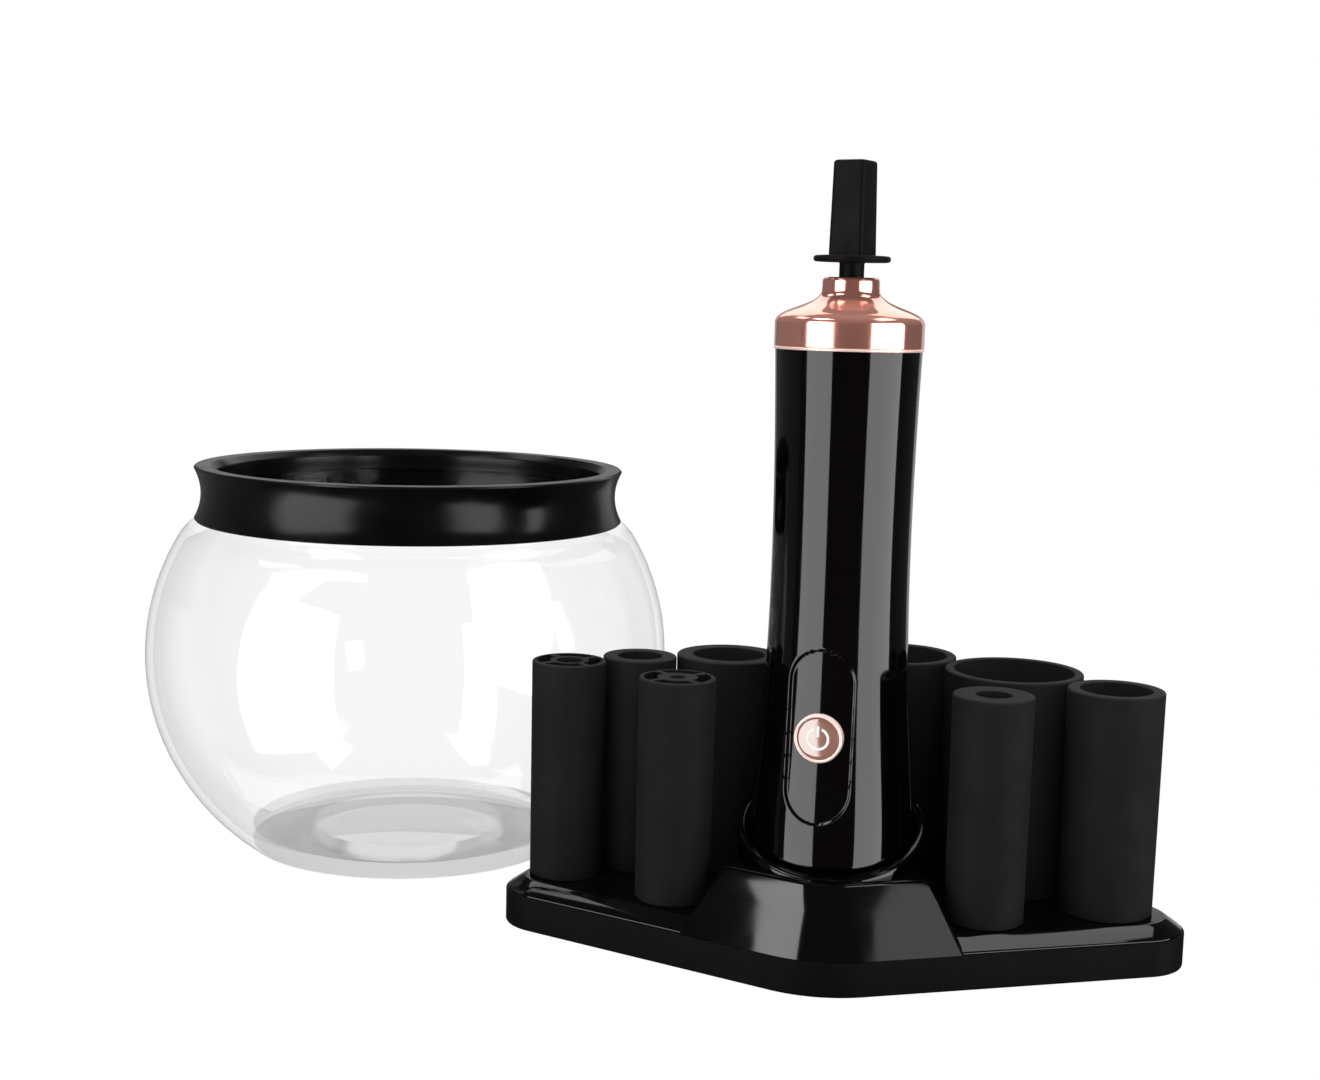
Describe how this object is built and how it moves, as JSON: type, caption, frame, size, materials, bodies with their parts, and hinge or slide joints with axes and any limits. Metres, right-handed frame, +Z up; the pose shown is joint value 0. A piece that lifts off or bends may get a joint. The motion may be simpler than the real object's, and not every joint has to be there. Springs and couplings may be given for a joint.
{
  "type": "brush cleaner",
  "caption": "Electric brush cleaner: clear splash bowl with lift-off ring, waisted spinner handle in a charging dock, and a stand of rubber brush collars on pegs.",
  "frame": {"origin": "on the table plane under the dock's axis, at the underside of the foot beneath the dock", "axes": "+Z up, along the handle and the collars' bores; +X to the right along the stand's width; +Y to the back of the stand"},
  "size_m": [0.3104, 0.1951, 0.206],
  "materials": {
    "gloss_black": "high gloss",
    "tub_black": "fine satin",
    "foot_rubber": "matte",
    "steel": "satin",
    "board_green": "satin",
    "inner_black": "matte",
    "contact_gold": "polished",
    "collar_rubber": "matte",
    "seal_rubber": "matte",
    "cell_blue": "shrink film",
    "white_plastic": "satin",
    "rose_gold": "polished rose gold",
    "pale_rose": "polished pale rose",
    "magnet_grey": "matte",
    "bush_brass": "satin",
    "winding_copper": "lacquered",
    "lead_red": "satin",
    "adapter_black": "satin",
    "clear_bowl": "clear"
  },
  "bodies": {
    "stand": {"stand_tub": "tub_black", "stand_cover": "gloss_black", "stand_feet": "foot_rubber", "stand_screws": "steel", "dock_board": "board_green", "usb_inlet": "steel", "contact_block": "inner_black", "contact_spring_left": "steel", "contact_spring_right": "steel"},
    "contact_left": {"contact_pin_left": "contact_gold"},
    "contact_right": {"contact_pin_right": "contact_gold"},
    "handle": {"handle_shell": "gloss_black", "bottom_cap": "tub_black", "base_seal": "seal_rubber", "bottom_screws": "steel", "charge_pad_left": "contact_gold", "charge_pad_right": "contact_gold", "chassis": "inner_black", "battery_cell": "cell_blue", "battery_tabs": "steel", "main_board": "board_green", "tact_switch": "inner_black", "button_bezel": "pale_rose", "motor_can": "steel", "motor_magnets": "magnet_grey", "motor_end_bell": "white_plastic", "motor_bush_top": "bush_brass", "motor_bush_bottom": "bush_brass", "motor_screws": "steel", "motor_leads": "lead_red", "shaft_seal": "seal_rubber", "top_cap": "rose_gold", "trim_ring": "pale_rose"},
    "button": {"button_cap": "rose_gold", "power_icon": "white_plastic", "switch_plunger": "white_plastic"},
    "rotor": {"motor_shaft": "steel", "motor_armature": "winding_copper", "motor_commutator": "bush_brass", "drive_socket": "inner_black"},
    "spindle": {"spindle_adapter": "adapter_black"},
    "bowl": {"bowl": "clear_bowl"},
    "ring": {"splash_ring": "gloss_black"},
    "collar_1": {"collar_1": "collar_rubber"},
    "collar_2": {"collar_2": "collar_rubber"},
    "collar_3": {"collar_3": "collar_rubber"},
    "collar_4": {"collar_4": "collar_rubber"},
    "collar_5": {"collar_5": "collar_rubber"},
    "collar_6": {"collar_6": "collar_rubber"},
    "collar_7": {"collar_7": "collar_rubber"},
    "collar_8": {"collar_8": "collar_rubber"}
  },
  "joints": [
    {"name": "handle_lift", "type": "slide", "parent": "stand", "child": "handle", "axis": [0, 0, 1], "range_m": [0, 0.2]},
    {"name": "button_press", "type": "slide", "parent": "handle", "child": "button", "axis": [0.1564, 0.9877, 0], "range_m": [0, 0.0004], "stiffness_N_per_m": 1500, "springref_m": -0.0003},
    {"name": "rotor_spin", "type": "hinge", "parent": "handle", "child": "rotor", "pos_m": [0, 0, 0.15], "axis": [0, 0, 1], "continuous": true},
    {"name": "spindle_pull", "type": "slide", "parent": "rotor", "child": "spindle", "axis": [0, 0, 1], "range_m": [0, 0.03]},
    {"name": "contact_left_travel", "type": "slide", "parent": "stand", "child": "contact_left", "axis": [0, 0, 1], "range_m": [-0.0008, 0], "stiffness_N_per_m": 400, "springref_m": 0.0005, "deforming": ["contact_spring_left"]},
    {"name": "contact_right_travel", "type": "slide", "parent": "stand", "child": "contact_right", "axis": [0, 0, 1], "range_m": [-0.0008, 0], "stiffness_N_per_m": 400, "springref_m": 0.0005, "deforming": ["contact_spring_right"]},
    {"name": "bowl_lift", "type": "slide", "parent": "stand", "child": "bowl", "axis": [0, 0, 1], "range_m": [0, 0.15]},
    {"name": "ring_lift", "type": "slide", "parent": "bowl", "child": "ring", "axis": [0, 0, 1], "range_m": [0, 0.06]},
    {"name": "collar_1_lift", "type": "slide", "parent": "stand", "child": "collar_1", "axis": [0, 0, 1], "range_m": [0, 0.08]},
    {"name": "collar_2_lift", "type": "slide", "parent": "stand", "child": "collar_2", "axis": [0, 0, 1], "range_m": [0, 0.08]},
    {"name": "collar_3_lift", "type": "slide", "parent": "stand", "child": "collar_3", "axis": [0, 0, 1], "range_m": [0, 0.08]},
    {"name": "collar_4_lift", "type": "slide", "parent": "stand", "child": "collar_4", "axis": [0, 0, 1], "range_m": [0, 0.08]},
    {"name": "collar_5_lift", "type": "slide", "parent": "stand", "child": "collar_5", "axis": [0, 0, 1], "range_m": [0, 0.08]},
    {"name": "collar_6_lift", "type": "slide", "parent": "stand", "child": "collar_6", "axis": [0, 0, 1], "range_m": [0, 0.08]},
    {"name": "collar_7_lift", "type": "slide", "parent": "stand", "child": "collar_7", "axis": [0, 0, 1], "range_m": [0, 0.08]},
    {"name": "collar_8_lift", "type": "slide", "parent": "stand", "child": "collar_8", "axis": [0, 0, 1], "range_m": [0, 0.08]}
  ]
}
